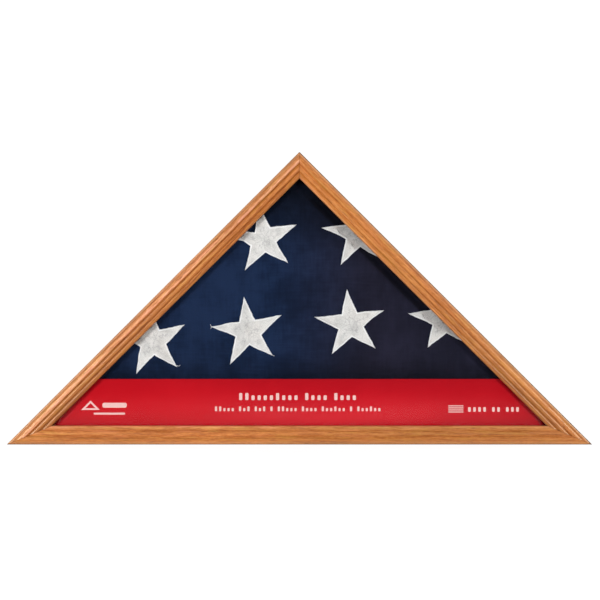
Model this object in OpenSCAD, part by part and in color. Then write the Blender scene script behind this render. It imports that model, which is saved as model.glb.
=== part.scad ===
// Folded flag display case: a deep triangular oak box with a moulded, mitred face
// frame, a glass front, a printed card along the foot of the window, the folded flag
// and a lift-out back panel that six turn buttons lock.
//
// Frame: +X to the right, +Y to the back, +Z up. The origin is the middle of the
// underside. Each side of the triangle has its own frame as well: x runs along the
// side, y is depth and z is the distance inward from the outer face.

/* [Case] */
// Width of the case along its base
case_w = 660; // [600:5:720]
// Depth of the case, from the crown of the moulding to the back edges
case_d = 86; // [80:1:110]

/* [Face moulding] */
// Width of the moulding's face
face_w = 21; // [20:0.5:24]
// Thickness of the moulding, front to back
face_t = 14; // [13:0.5:16]
// Depth of the glass seat behind the crown
glass_seat = 9.5; // [9:0.5:10]
// Distance of the rabbet's wall from the outer face
rabbet_wall = 12; // [11:0.5:13]

/* [Box boards] */
// Thickness of the box boards
board_t = 14; // [13:0.5:16]
// Width of the rebate that holds the back panel
rebate_w = 5; // [4:0.5:5]
// Depth of the rebate that holds the back panel
rebate_d = 6; // [5:0.5:8]

/* [Glass, card and stops] */
// Thickness of the glass
glass_t = 2; // [1.5:0.5:2]
// Thickness of the printed card
card_t = 0.5; // [0.3:0.1:0.5]
// Height of the card's top edge above the underside
card_top = 73.5; // [60:0.5:90]
// Width and thickness of the strips that stop the glass
stop_w = 5; // [4:0.5:5]

/* [Folded flag] */
// Thickness of the folded flag
flag_t = 59; // [50:1:60]
// Space between the flag and the box boards
flag_gap = 1.5; // [0.6:0.1:3]
// Space between the flag's front and the strips that stop the glass
flag_stop_gap = 0.6; // [0.4:0.1:2]
// Radius of the folded flag's back edges
flag_edge_r = 14; // [10:1:16]
// Radius of the folded flag's front edges
flag_front_r = 4; // [2:0.5:4]
// Radius of one star, centre to tip
star_r = 40.5; // [36:0.5:44]
// How far the stars lean from upright
star_lean = 6.5; // [0:0.5:12]

/* [Back panel and hardware] */
// Clearance round the back panel and in front of it
panel_gap = 0.3; // [0.3:0.1:0.5]
// Length of a turn button
button_l = 26; // [22:1:30]
// Width of a turn button
button_w = 8; // [6:0.5:8]
// Thickness of a turn button
button_t = 1.2; // [1:0.1:1.5]
// Length of the sawtooth hanger
hanger_l = 46; // [40:1:60]
// Height of the sawtooth hanger's strip
hanger_h = 10; // [8:0.5:12]

/* [Hidden] */

$fn = 48;
slit = 0.05;                  // room between parts that only touch
sqrt2 = sqrt(2);

// Sides of the triangle, in the order base, right leg, left leg.
BASE = 0;
RIGHT = 1;
LEFT = 2;
leg_l = case_w / sqrt2;
side_l = [case_w, leg_l, leg_l];
side_mid = [[0, 0], [case_w / 4, case_w / 4], [-case_w / 4, case_w / 4]];
side_turn = [0, 225, 135];
// The mitres of a side meet at the triangle's incentre.
incentre_z = case_w * (sqrt2 - 1) / 2;
incentre_shift = case_w * (2 - sqrt2) / 4;
incentre_x = [0, incentre_shift, -incentre_shift];

// Depths, measured back from the crown of the moulding.
card_v = glass_seat + glass_t + 2 * slit;
stop_v = card_v + card_t;
star_t = 0.6;
star_v = stop_v + 2 * slit;
flag_v = star_v + star_t;
ledge_v = case_d - rebate_d;
panel_v = ledge_v + panel_gap;
panel_t = rebate_d - 2 * panel_gap;
panel_back_v = panel_v + panel_t;
button_v = case_d + slit;
head_v = button_v + button_t + slit;
head_h = 1.9;
overall_d = head_v + head_h;
front_y = -overall_d / 2;

// Fasteners.
screw_r = 1.5;
screw_l = 14;
head_r = 3;
button_bore_r = screw_r + 0.08;
button_u = (board_t - rebate_w) / 2;
button_span = button_l - button_w;
base_button_x = case_w / 4;
leg_button_x = 110;
brad_r = 0.8;
brad_l = 18;
brad_set = 1;                 // how deep the brads' heads are set below the wood
brad_rows = [0.2, 0.5, 0.8];  // shares of the board's depth
stop_brad_r = 0.5;
stop_brad_l = 10;

// The three corners of the outline moved inward by u: left, right, top.
function inset_triangle(u) = [
    [-case_w / 2 + u * (1 + sqrt2), u],
    [case_w / 2 - u * (1 + sqrt2), u],
    [0, case_w / 2 - u * sqrt2]
];

// Half the width of that moved outline at height z.
function half_width(u, z) = case_w / 2 - u * sqrt2 - z;

// A five-pointed star, tips and notches in turn.
function star_points(r) = [
    for (i = [0:9]) (i % 2 == 0 ? r : r * 0.382) * [sin(36 * i), cos(36 * i)]
];

// Puts a child drawn in a side's own frame on that side.
module on_side(side) {
    translate([side_mid[side][0], front_y, side_mid[side][1]])
        rotate([0, side_turn[side], 0])
            children();
}

// Extrudes a profile drawn as (depth, distance inward) along a side.
module along(length) {
    translate([-length / 2, 0, 0])
        rotate([90, 0, 90])
            linear_extrude(length)
                children();
}

// The wedge between a side and the incentre, which cuts both mitres.
module mitre_wedge(side) {
    half = side_l[side] / 2;
    translate([0, overall_d + 1, 0])
        rotate([90, 0, 0])
            linear_extrude(overall_d + 2)
                polygon([[-half, 0], [half, 0], [incentre_x[side], incentre_z]]);
}

// A mitred length of a profile on one side of the case.
module mitred(side) {
    on_side(side)
        intersection() {
            along(side_l[side]) children();
            mitre_wedge(side);
        }
}

// A flat piece of thickness t, drawn in the plane of the face, its front at depth v.
module slab(v, t) {
    translate([0, front_y + v + t, 0])
        rotate([90, 0, 0])
            linear_extrude(t)
                children();
}

// A round pin from the origin along +Y.
module pin(r, length) {
    rotate([-90, 0, 0])
        cylinder(r = r, h = length, $fn = 32);
}

// A domed head on the XZ plane, rising along +Y, with its crown cut flat.
module domed_head(r, h, crown_cut) {
    full_h = h + crown_cut;
    sphere_r = (r * r + full_h * full_h) / (2 * full_h);
    intersection() {
        pin(r, h);
        translate([0, full_h - sphere_r, 0])
            sphere(r = sphere_r, $fn = 64);
    }
}

/* ---- face frame ---- */

bead_1 = [4, 5.8, 4];         // depth and distance inward of the centre, radius
bead_2 = [5.2, 12, 3.7];
lip_bead = [6.6, face_w - 3.4, 3.4];
groove_2 = lip_bead[1] - 2.1;
arris_r = 1.2;
arris_w = 2.4;
core_v = 4.2;

module bead(b) {
    translate([b[0], b[1]])
        circle(r = b[2], $fn = 64);
}

module moulding_profile() {
    difference() {
        union() {
            bead(bead_1);
            bead(bead_2);
            bead(lip_bead);
            bead([2 * arris_r + arris_w - arris_r, arris_r, arris_r]);
            translate([2 * arris_r, arris_r])
                square([core_v - 2 * arris_r, arris_w - arris_r]);
            translate([arris_r + arris_w, 0])
                square([face_t - arris_r - arris_w, arris_w]);
            translate([core_v, 0])
                square([face_t - core_v, groove_2]);
            translate([lip_bead[0], 0])
                square([face_t - lip_bead[0], face_w]);
        }
        translate([glass_seat, rabbet_wall])
            square([face_t, face_w]);
    }
}

module face_moulding(side) {
    color("#c8824c")
        mitred(side) moulding_profile();
}

// Bent steel strips driven into the backs of the mitres.
v_nail_t = 0.5;
v_nail_w = 4;
v_nail_h = 7;
v_nail_u = 6.5;

module corner_v_nails() {
    corners = inset_triangle(v_nail_u);
    turns = [22.5, 157.5, 270];
    color("silver")
        for (i = [0:2])
            slab(face_t - v_nail_h, v_nail_h)
                translate(corners[i])
                    rotate(turns[i])
                        for (s = [-1, 1])
                            rotate(s * 60)
                                translate([0, -v_nail_t / 2])
                                    square([v_nail_w, v_nail_t]);
}

/* ---- box ---- */

module board_profile() {
    ease = 0.8;
    polygon([
        [face_t, 0],
        [case_d - ease, 0],
        [case_d, ease],
        [case_d, board_t - rebate_w],
        [ledge_v, board_t - rebate_w],
        [ledge_v, board_t],
        [face_t, board_t]
    ]);
}

module box_board(side) {
    color("#c07a45")
        mitred(side) board_profile();
}

// Brads through one board of each corner into the next, set below the surface.
module corner_brads() {
    apex_reach = board_t / 2;
    foot_reach = 24;
    places = [
        [LEFT, -leg_l / 2 + apex_reach],
        [LEFT, leg_l / 2 - foot_reach],
        [RIGHT, -leg_l / 2 + foot_reach]
    ];
    color("silver")
        for (p = places)
            for (row = brad_rows)
                on_side(p[0])
                    translate([p[1], face_t + row * (case_d - face_t), brad_set])
                        cylinder(r = brad_r, h = brad_l, $fn = 24);
}

/* ---- glass, card and stops ---- */

module glass_pane() {
    color("#d8e8e8", 0.35)
        slab(glass_seat, glass_t)
            polygon(inset_triangle(rabbet_wall + 0.5));
}

module printed_card() {
    card_u = rabbet_wall + 1;
    corners = inset_triangle(card_u);
    top = half_width(card_u, card_top);
    color("#c81e28")
        slab(card_v, card_t)
            polygon([corners[0], corners[1], [top, card_top], [-top, card_top]]);
}

module stop_profile() {
    round_r = 2;
    translate([stop_v, board_t])
        square([stop_w - round_r, stop_w]);
    translate([stop_v, board_t])
        square([stop_w, stop_w - round_r]);
    translate([stop_v + stop_w - round_r, board_t + stop_w - round_r])
        circle(r = round_r);
}

module glass_stop(side) {
    color("#a06a3c")
        mitred(side) stop_profile();
}

module stop_brads() {
    color("silver")
        for (side = [BASE, RIGHT, LEFT])
            for (share = [-0.28, 0, 0.28])
                on_side(side)
                    translate([
                        share * side_l[side] + incentre_x[side] / 2,
                        stop_v + stop_w / 2,
                        board_t + stop_w - stop_brad_l
                    ])
                        cylinder(r = stop_brad_r, h = stop_brad_l, $fn = 24);
}

/* ---- folded flag ---- */

flag_front_u = board_t + stop_w + flag_stop_gap + flag_front_r;
flag_side_u = board_t + flag_gap + flag_edge_r;
flag_corner_u = flag_side_u + 2;

// One corner of the folded flag: a thick disc, narrower where it fits between the stops.
module flag_corner() {
    rims = [
        [flag_corner_u - flag_front_u, flag_front_r, flag_front_r],
        [flag_corner_u - flag_side_u, flag_edge_r + flag_front_r, flag_edge_r],
        [flag_corner_u - flag_side_u, flag_t - flag_edge_r, flag_edge_r]
    ];
    rotate([-90, 0, 0])
        rotate_extrude($fn = 32)
            intersection() {
                square([2 * flag_edge_r, flag_t]);
                hull()
                    for (rim = rims)
                        translate([rim[0], rim[1]])
                            circle(r = rim[2], $fn = 32);
            }
}

module folded_flag() {
    color("#1a2844")
        hull()
            for (p = inset_triangle(flag_corner_u))
                translate([p[0], front_y + flag_v, p[1]])
                    flag_corner();
}

// Centres of the stars that show above the card.
star_places = [
    [-166, 116], [-58, 127], [58, 136], [165, 141],
    [-41, 232], [67, 238]
];

// The stars end where the flag's front rounds away behind the moulding.
module flag_stars() {
    color("#e8e8e4")
        slab(star_v, star_t)
            intersection() {
                polygon(inset_triangle(flag_front_u));
                for (p = star_places)
                    translate(p)
                        rotate(star_lean)
                            polygon(star_points(star_r));
            }
}

/* ---- back ---- */

panel_u = board_t - rebate_w + panel_gap;
panel_tip = 6;                // length cut off the panel's thin points

module back_panel() {
    corners = inset_triangle(panel_u);
    reach = corners[1][0] - panel_tip;
    color("#4a3a2e")
        slab(panel_v, panel_t)
            polygon([
                [-reach, panel_u],
                [reach, panel_u],
                [reach, panel_u + panel_tip],
                corners[2],
                [-reach, panel_u + panel_tip]
            ]);
}

hanger_z = 268;
hanger_t = 0.8;
hanger_rise = 1.4;
hanger_foot = 9;              // length of the flat end that a nail holds
hanger_slope = 3;
tooth_pitch = 3;
tooth_h = 1.6;
nail_r = 0.7;
nail_hole_r = nail_r + 0.1;
nail_x = hanger_l / 2 - hanger_foot / 2;

// The strip's outline seen from above: flat ends and a raised middle.
module hanger_outline() {
    half = hanger_l / 2;
    knee = half - hanger_foot;
    flat_half = knee - hanger_slope;
    front = [
        [-half, 0], [-knee, 0], [-flat_half, hanger_rise],
        [flat_half, hanger_rise], [knee, 0], [half, 0]
    ];
    back = [for (i = [5:-1:0]) front[i] + [0, hanger_t]];
    polygon(concat(front, back));
}

module sawtooth_hanger() {
    teeth = 7;
    color("silver")
        translate([0, front_y + panel_back_v, hanger_z - hanger_h / 2])
            difference() {
                linear_extrude(hanger_h) hanger_outline();
                for (i = [-(teeth - 1) / 2:(teeth - 1) / 2])
                    translate([i * tooth_pitch, 0, 0])
                        rotate([-90, 0, 0])
                            linear_extrude(hanger_rise + 2 * hanger_t)
                                polygon([
                                    [-tooth_pitch / 2, 1],
                                    [-tooth_pitch / 2, 0],
                                    [0, -tooth_h],
                                    [tooth_pitch / 2, 0],
                                    [tooth_pitch / 2, 1]
                                ]);
                for (s = [-1, 1])
                    translate([s * nail_x, -1, hanger_h / 2])
                        pin(nail_hole_r, hanger_t + 2);
            }
}

module hanger_nails() {
    nail_l = 4.6;
    cap_r = 1.8;
    cap_h = 0.9;
    color("silver")
        for (s = [-1, 1])
            translate([s * nail_x, front_y + panel_back_v, hanger_z]) {
                translate([0, -nail_l, 0])
                    pin(nail_r, nail_l + hanger_t + slit + cap_h / 2);
                translate([0, hanger_t + slit, 0])
                    domed_head(cap_r, cap_h, 0.05);
            }
}

/* ---- turn buttons ---- */

// A flat bar with round ends, its hole at the origin, pointing along the side.
module turn_button(side, x, way) {
    r = button_w / 2;
    color("#b89a52")
        on_side(side)
            translate([x, button_v, button_u])
                difference() {
                    union() {
                        pin(r, button_t);
                        translate([way * button_span, 0, 0])
                            pin(r, button_t);
                        translate([min(0, way * button_span), 0, -r])
                            cube([button_span, button_t, button_w]);
                    }
                    translate([0, -1, 0])
                        pin(button_bore_r, button_t + 2);
                }
}

// Side and place along it of each turn button's screw.
button_places = [
    [BASE, -base_button_x], [BASE, base_button_x],
    [RIGHT, -leg_button_x], [RIGHT, leg_button_x],
    [LEFT, -leg_button_x], [LEFT, leg_button_x]
];

// A round-headed wood screw with a crossed slot, its point towards the front.
module wood_screw() {
    slot_w = 0.8;
    slot_l = 3.6;
    slot_d = 1;
    point_l = 3;
    translate([0, head_v - screw_l, 0]) {
        pin(screw_r, screw_l + head_h / 2);
        rotate([90, 0, 0])
            cylinder(r1 = screw_r, r2 = 0.2, h = point_l, $fn = 32);
    }
    translate([0, head_v, 0])
        difference() {
            domed_head(head_r, head_h, 0.15);
            for (turn = [0, 90])
                rotate([0, turn, 0])
                    translate([-slot_l / 2, head_h - slot_d, -slot_w / 2])
                        cube([slot_l, 2 * slot_d, slot_w]);
        }
}

module turn_button_screws() {
    color("#b0b0b0")
        for (p = button_places)
            on_side(p[0])
                translate([p[1], 0, button_u])
                    wood_screw();
}

/* ---- nodes ---- */

face_moulding(BASE);  // face_moulding_base
face_moulding(RIGHT);  // face_moulding_right
face_moulding(LEFT);  // face_moulding_left
box_board(BASE);  // box_board_base
box_board(RIGHT);  // box_board_right
box_board(LEFT);  // box_board_left
glass_pane();
printed_card();
glass_stop(BASE);  // glass_stop_base
glass_stop(RIGHT);  // glass_stop_right
glass_stop(LEFT);  // glass_stop_left
folded_flag();
flag_stars();
back_panel();
sawtooth_hanger();
hanger_nails();
turn_button(BASE, -base_button_x, 1);  // turn_button_base_left
turn_button(BASE, base_button_x, -1);  // turn_button_base_right
turn_button(RIGHT, -leg_button_x, 1);  // turn_button_right_lower
turn_button(RIGHT, leg_button_x, -1);  // turn_button_right_upper
turn_button(LEFT, -leg_button_x, 1);  // turn_button_left_upper
turn_button(LEFT, leg_button_x, -1);  // turn_button_left_lower
turn_button_screws();
corner_v_nails();
corner_brads();
stop_brads();
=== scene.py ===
"""Looks of the folded flag display case: lacquered oak, glass, card, cloth flag and hardware."""

import math

import bmesh
import bpy
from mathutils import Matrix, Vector, geometry, noise
from mathutils.bvhtree import BVHTree


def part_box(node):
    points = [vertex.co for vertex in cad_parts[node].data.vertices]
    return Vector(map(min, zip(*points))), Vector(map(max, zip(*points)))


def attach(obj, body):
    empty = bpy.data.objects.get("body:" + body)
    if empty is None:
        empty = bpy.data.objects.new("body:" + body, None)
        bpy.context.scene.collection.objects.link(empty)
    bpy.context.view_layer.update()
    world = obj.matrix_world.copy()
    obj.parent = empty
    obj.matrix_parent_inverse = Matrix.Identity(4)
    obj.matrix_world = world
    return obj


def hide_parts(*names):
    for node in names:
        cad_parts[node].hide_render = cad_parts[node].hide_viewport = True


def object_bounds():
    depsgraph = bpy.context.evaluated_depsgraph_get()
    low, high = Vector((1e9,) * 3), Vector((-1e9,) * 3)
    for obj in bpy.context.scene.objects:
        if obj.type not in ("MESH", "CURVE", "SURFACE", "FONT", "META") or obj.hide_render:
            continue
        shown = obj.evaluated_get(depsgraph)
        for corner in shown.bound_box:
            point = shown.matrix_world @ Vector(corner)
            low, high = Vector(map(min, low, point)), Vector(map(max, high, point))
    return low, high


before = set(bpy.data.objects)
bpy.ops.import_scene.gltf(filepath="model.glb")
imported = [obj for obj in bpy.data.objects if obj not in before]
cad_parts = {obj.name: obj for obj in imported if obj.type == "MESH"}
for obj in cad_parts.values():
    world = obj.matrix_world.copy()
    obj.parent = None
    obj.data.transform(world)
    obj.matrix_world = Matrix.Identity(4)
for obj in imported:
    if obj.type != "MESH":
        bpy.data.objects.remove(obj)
bpy.context.view_layer.update()
CAD_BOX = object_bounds()

# ---- measures, in metres, worked out from the frame ----

MM = 0.001
ROOT2 = math.sqrt(2)
HALF_W = CAD_BOX[1].x
FRONT_Y = CAD_BOX[0].y
TOP_Z = CAD_BOX[1].z
FACE_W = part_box("face_moulding_base")[1].z
STOP_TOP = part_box("glass_stop_base")[1].z
CARD_FRONT_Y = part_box("printed_card")[0].y
CARD_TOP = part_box("printed_card")[1].z
FLAG_LOW, FLAG_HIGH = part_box("folded_flag")
FLAG_SIDE_INSET = FLAG_LOW.z
FLAG_FRONT_INSET = STOP_TOP + 0.6 * MM

# Each side of the case: its direction, the direction inward, and the offset that makes
# inward . point + offset the distance from the side's outer face.
SIDES = {
    "base": (Vector((1, 0, 0)), Vector((0, 0, 1)), 0.0),
    "right": (Vector((-1, 0, 1)) / ROOT2, Vector((-1, 0, -1)) / ROOT2, HALF_W / ROOT2),
    "left": (Vector((-1, 0, -1)) / ROOT2, Vector((1, 0, -1)) / ROOT2, HALF_W / ROOT2),
}


def inset_of(side, x, z):
    """Distance of a point from the outer face of a side."""
    _, inward, offset = SIDES[side]
    return inward.x * x + inward.z * z + offset


def outer_gap(x, z):
    """Distance of a point from the nearest outer face of the case."""
    return min(inset_of(side, x, z) for side in SIDES)


def waver(x, z, pitch, seed):
    """Smooth noise over the XZ plane."""
    return noise.noise(Vector((x * pitch, seed, z * pitch)))


def smooth(t):
    """0 below 0, 1 above 1, and smooth between."""
    t = min(max(t, 0.0), 1.0)
    return t * t * (3 - 2 * t)


STAR_R = 40.5 * MM
STAR_LEAN = math.radians(6.5)
NOTCH_R = 0.382 * STAR_R
EDGE_DISTANCE = STAR_R * math.cos(math.radians(72))


def star_corner(number, radius):
    """A corner of a leaning star: even numbers are tips and odd ones notches."""
    angle = math.radians(36 * number) + STAR_LEAN
    return Vector((-math.sin(angle), math.cos(angle))) * radius


EDGE_LENGTH_MM = (star_corner(0, STAR_R) - star_corner(1, NOTCH_R)).length / MM

# ---- materials ----


class Shader:
    """A procedural material, built node by node."""

    def __init__(self, name):
        self.material = bpy.data.materials.new(name)
        self.material.use_nodes = True
        self.nodes = self.material.node_tree.nodes
        self.links = self.material.node_tree.links
        self.nodes.clear()
        self.output = self.nodes.new("ShaderNodeOutputMaterial")
        self.place = self.nodes.new("ShaderNodeTexCoord").outputs["Object"]

    def node(self, kind, inputs, **settings):
        """A new node. An input is either a socket to link from or a plain value."""
        made = self.nodes.new(kind)
        for key, value in settings.items():
            setattr(made, key, value)
        for key, value in inputs.items():
            if isinstance(value, bpy.types.NodeSocket):
                self.links.new(value, made.inputs[key])
            else:
                made.inputs[key].default_value = value
        return made

    def math(self, operation, a, b=0.0):
        return self.node("ShaderNodeMath", {0: a, 1: b}, operation=operation).outputs[0]

    def product(self, a, b):
        return self.math("MULTIPLY", a, b)

    def wave(self, value, pitch):
        """Sine wave of a value, one turn for each pitch."""
        return self.math("SINE", self.product(value, 2 * math.pi / pitch))

    def dot(self, vector, direction):
        made = self.node("ShaderNodeVectorMath", {0: vector, 1: direction}, operation="DOT_PRODUCT")
        return made.outputs["Value"]

    def combine(self, x, y, z):
        return self.node("ShaderNodeCombineXYZ", {0: x, 1: y, 2: z}).outputs[0]

    def scaled(self, vector, scale, shift=(0, 0, 0)):
        inputs = {"Vector": vector, "Scale": scale, "Location": shift}
        return self.node("ShaderNodeMapping", inputs).outputs[0]

    def noise(self, vector, scale=1.0, detail=2.0, roughness=0.5):
        inputs = {"Vector": vector, "Scale": scale, "Detail": detail, "Roughness": roughness}
        return self.node("ShaderNodeTexNoise", inputs).outputs[0]

    def cells(self, vector, scale):
        return self.node("ShaderNodeTexVoronoi", {"Vector": vector, "Scale": scale}).outputs["Color"]

    def ranged(self, value, low, high, out_low=0.0, out_high=1.0):
        """Goes smoothly from out_low at low to out_high at high, and is held outside them."""
        inputs = {0: value, 1: low, 2: high, 3: out_low, 4: out_high}
        return self.node("ShaderNodeMapRange", inputs, interpolation_type="SMOOTHSTEP").outputs[0]

    def ramp(self, value, stops):
        """Colour that runs through (position, colour) stops."""
        made = self.node("ShaderNodeValToRGB", {0: value})
        spots = made.color_ramp.elements
        while len(spots) < len(stops):
            spots.new(0.5)
        for spot, (position, colour) in zip(spots, stops):
            spot.position = position
            spot.color = (*colour, 1)
        return made.outputs[0]

    def mix(self, share, a, b, way="MIX"):
        """Blend of two colours, each a socket or a plain colour. Share 0 gives the first."""
        ends = [end if isinstance(end, bpy.types.NodeSocket) else (*end, 1) for end in (a, b)]
        inputs = {0: share, 6: ends[0], 7: ends[1]}
        return self.node("ShaderNodeMix", inputs, data_type="RGBA", blend_type=way).outputs[2]

    def times(self, colour, factor):
        """A colour with each channel multiplied by the same channel of another."""
        return self.mix(1.0, colour, factor, "MULTIPLY")

    def weighted(self, *parts):
        """Sum of values, each one times its weight."""
        total = 0.0
        for value, weight in parts:
            total = self.math("ADD", self.product(value, weight), total)
        return total

    def inset(self, side):
        """Distance of the shaded point from the outer face of a side of the case."""
        _, inward, offset = SIDES[side]
        return self.math("ADD", self.dot(self.place, inward), offset)

    def bump(self, height, distance, strength):
        inputs = {"Height": height, "Distance": distance, "Strength": strength}
        return self.node("ShaderNodeBump", inputs).outputs[0]

    def finish(self, **inputs):
        """Ends in a Principled shader. Socket names have spaces in place of underscores."""
        named = {key.replace("_", " "): value for key, value in inputs.items()}
        surface = self.node("ShaderNodeBsdfPrincipled", named)
        self.links.new(surface.outputs[0], self.output.inputs["Surface"])
        return self.material


OAK_STOPS = [
    (0.0, (0.205, 0.050, 0.007)),
    (0.34, (0.315, 0.095, 0.018)),
    (0.62, (0.405, 0.139, 0.032)),
    (1.0, (0.520, 0.216, 0.066)),
]
OAK_DARK = (0.105, 0.023, 0.003)
OAK_PINK = (0.48, 0.168, 0.056)
OAK_OCHRE = (0.40, 0.178, 0.034)
OAK_WORN = (0.60, 0.37, 0.22)
# Painted light and shade across each side's moulding, at these distances from its outer face in mm,
# set for each side as the lamps fall on it: painted highlights on the beads, painted shade in the
# grooves and a painted dark line at the arris. They run over the arris, the outer bead, the groove,
# the inner bead, the second groove and the lip.
PAINTED_LIGHT_SPOTS = (0.5, 1.5, 3.5, 5.3, 7.3, 9.0, 10.5, 12.0, 13.5, 15.0, 16.5, 18.0, 20.0)
MOULDING_PAINTED_LIGHT_ACROSS = {
    "base": (0.14, 0.84, 0.88, 0.74, 0.82, 1.08, 0.99, 0.90, 1.01, 1.12, 1.03, 0.94, 1.32),
    "right": (0.08, 1.06, 1.02, 0.90, 0.92, 0.96, 0.80, 0.81, 0.90, 0.87, 0.72, 0.68, 1.05),
    "left": (0.80, 1.06, 1.20, 1.36, 1.70, 0.80, 0.74, 0.98, 0.87, 0.68, 0.78, 0.77, 0.73),
}
PAINTED_LIGHT_TOP = 4.0  # a ramp's colours go up to 1, so tones are divided by this and scaled back
# Painted light along each side's moulding, at even steps from its start to its end, where the painted
# highlights grow and fade as the light falls: first over the outer bead, then over the inner bead and
# the lip.
MOULDING_PAINTED_LIGHT_ALONG = {
    "base": ((1.12, 1.13, 0.97, 0.94, 0.96), (1.18, 1.24, 1.00, 0.84, 0.84)),
    "right": ((0.95, 0.90, 1.08, 1.06, 1.06), (0.80, 0.84, 0.95, 0.97, 1.15)),
    "left": ((0.80, 1.02, 1.05, 0.96, 0.94), (1.08, 1.08, 0.96, 0.93, 0.86)),
}
PAINTED_LIGHT_REACH = 0.92  # share of a side's length that the steps cover


def painted_light_ramp(s, share, spots, powers):
    """Painted light and shade that runs through (position, tone) spots, each colour at its own power
    of the tone.
    """
    stops = []
    for position, tone in spots:
        stops.append((position, [tone ** power / PAINTED_LIGHT_TOP for power in powers]))
    return s.scaled(s.ramp(share, stops), (PAINTED_LIGHT_TOP, PAINTED_LIGHT_TOP, PAINTED_LIGHT_TOP))


def painted_light_across(s, side, inset):
    """Painted light and shade across a side's moulding."""
    spots = [(spot * MM / FACE_W, tone) for spot, tone in zip(PAINTED_LIGHT_SPOTS, MOULDING_PAINTED_LIGHT_ACROSS[side])]
    return painted_light_ramp(s, s.math("DIVIDE", inset, FACE_W), spots, (1, 1.5, 3.2))


def painted_light_along(s, side, run, inset):
    """Painted light and shade along a side's moulding."""
    reach = PAINTED_LIGHT_REACH * (HALF_W if side == "base" else HALF_W / ROOT2)
    share = s.ranged(run, -reach, reach)
    bands = []
    for tones in MOULDING_PAINTED_LIGHT_ALONG[side]:
        spots = [(step / (len(tones) - 1), tone) for step, tone in enumerate(tones)]
        bands.append(painted_light_ramp(s, share, spots, (1, 1.1, 1.7)))
    return s.mix(s.ranged(inset, 8.5 * MM, 10.5 * MM), *bands)


def mitre_lines(s, side, inset):
    """Strength of the dark hairlines where a side's moulding meets the other two."""
    lines = []
    for other in SIDES:
        if other != side:
            gap = s.math("ABSOLUTE", s.math("SUBTRACT", inset, s.inset(other)))
            lines.append(s.ranged(gap, 0.3 * MM, 1.1 * MM, 0.5, 0.0))
    return lines


def moulding_front(s, depth, inset):
    """Mask of a moulding's front. On the outer face it stops just behind the arris."""
    front = s.ranged(depth, FRONT_Y + 5 * MM, FRONT_Y + 8 * MM, 1.0, 0.0)
    inside = s.product(front, s.ranged(inset, 0.3 * MM, 1.0 * MM))
    arris = s.ranged(depth, FRONT_Y + 3.2 * MM, FRONT_Y + 4.2 * MM, 1.0, 0.0)
    return s.math("MAXIMUM", inside, arris)


# Lowest roughness, coat weight and specular level of the mouldings and of the boards.
LACQUERED = (0.30, 0.05, 0.75)
PLAIN_BOARD = (0.60, 0.0, 0.12)


def oak(name, side, seed, moulding=False, tone=1.0):
    """Oak whose grain runs along one side of the case. Each seed gives another board. A moulding's
    front also gets painted highlights and shade.
    """
    s = Shader(name)
    run = s.dot(s.place, SIDES[side][0])
    inset = s.inset(side)
    depth = s.dot(s.place, (0, 1, 0))
    wander = s.noise(s.combine(run, seed, 0.0), 4.0)
    shifted = s.math("ADD", inset, s.product(wander, 0.009))
    grain = s.combine(run, depth, shifted)
    shift = (seed * 3.1, seed * 1.7, seed * 2.3)

    def drawn_out(scale, detail=1.0, roughness=0.5):
        return s.noise(s.scaled(grain, scale, shift), 1.0, detail, roughness)

    broad = drawn_out((5, 60, 75), 2.0)
    streak = drawn_out((26, 420, 500), 3.0, 0.6)
    fine = drawn_out((80, 900, 1100), 2.0, 0.6)
    rings = drawn_out((7, 460, 600))
    pores = drawn_out((120, 2500, 2900))
    fleck = drawn_out((75, 520, 620))
    speck = drawn_out((260, 900, 1000))
    patch = drawn_out((34, 210, 260))
    blend = s.weighted((broad, 0.28), (streak, 0.26), (fine, 0.28), (speck, 0.18))
    colour = s.ramp(s.ranged(blend, 0.35, 0.66), OAK_STOPS)
    colour = s.mix(s.ranged(patch, 0.55, 0.68, 0.0, 0.38), colour, OAK_PINK)
    colour = s.mix(s.ranged(patch, 0.33, 0.45, 0.45, 0.0), colour, OAK_OCHRE)
    colour = s.mix(s.ranged(rings, 0.56, 0.68, 0.0, 0.18), colour, OAK_DARK)
    pore_mask = s.ranged(pores, 0.60, 0.72)
    colour = s.mix(s.product(pore_mask, 0.35), colour, OAK_DARK)
    colour = s.mix(s.ranged(fleck, 0.68, 0.74, 0.0, 0.5), colour, OAK_DARK)
    if moulding:
        for line in mitre_lines(s, side, inset):
            colour = s.mix(line, colour, OAK_DARK)
        front = moulding_front(s, depth, inset)
        worn = s.product(s.ranged(inset, 1.0 * MM, 3.8 * MM, 0.24, 0.0), front)
        colour = s.mix(worn, colour, OAK_WORN)
        # painted highlights and shade, across and along the moulding, stand in for how the light
        # falls on it
        with_painted_light = s.times(colour, painted_light_across(s, side, inset))
        with_painted_light = s.times(with_painted_light, painted_light_along(s, side, run, inset))
        colour = s.mix(front, colour, with_painted_light)
    colour = s.times(colour, (tone, tone, tone))
    relief = s.math("SUBTRACT", s.product(streak, 0.5), pore_mask)
    smoothest, coat, specular = LACQUERED if moulding else PLAIN_BOARD
    return s.finish(
        Base_Color=colour,
        Roughness=s.ranged(streak, 0.3, 0.7, smoothest, smoothest + 0.08),
        Coat_Weight=coat,
        Coat_Roughness=0.2,
        Specular_IOR_Level=specular,
        Specular_Tint=(1.0, 0.74, 0.50, 1.0),
        Normal=s.bump(relief, 0.06 * MM, 0.5),
    )


COATED_GLASS = 0.16  # how much low-reflection picture glass reflects, against plain glass


def glass(name):
    """Clear picture glass: what lies behind it shows through, with a faint reflection."""
    s = Shader(name)
    clear = s.node("ShaderNodeBsdfTransparent", {"Color": (0.986, 0.988, 0.986, 1)})
    gloss = s.node("ShaderNodeBsdfGlossy", {"Color": (1, 1, 1, 1), "Roughness": 0.02})
    mirror = s.node("ShaderNodeFresnel", {"IOR": 1.46})
    share = s.product(mirror.outputs[0], COATED_GLASS)
    both = s.node("ShaderNodeMixShader", {0: share, 1: clear.outputs[0], 2: gloss.outputs[0]})
    s.links.new(both.outputs[0], s.output.inputs["Surface"])
    return s.material


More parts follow.
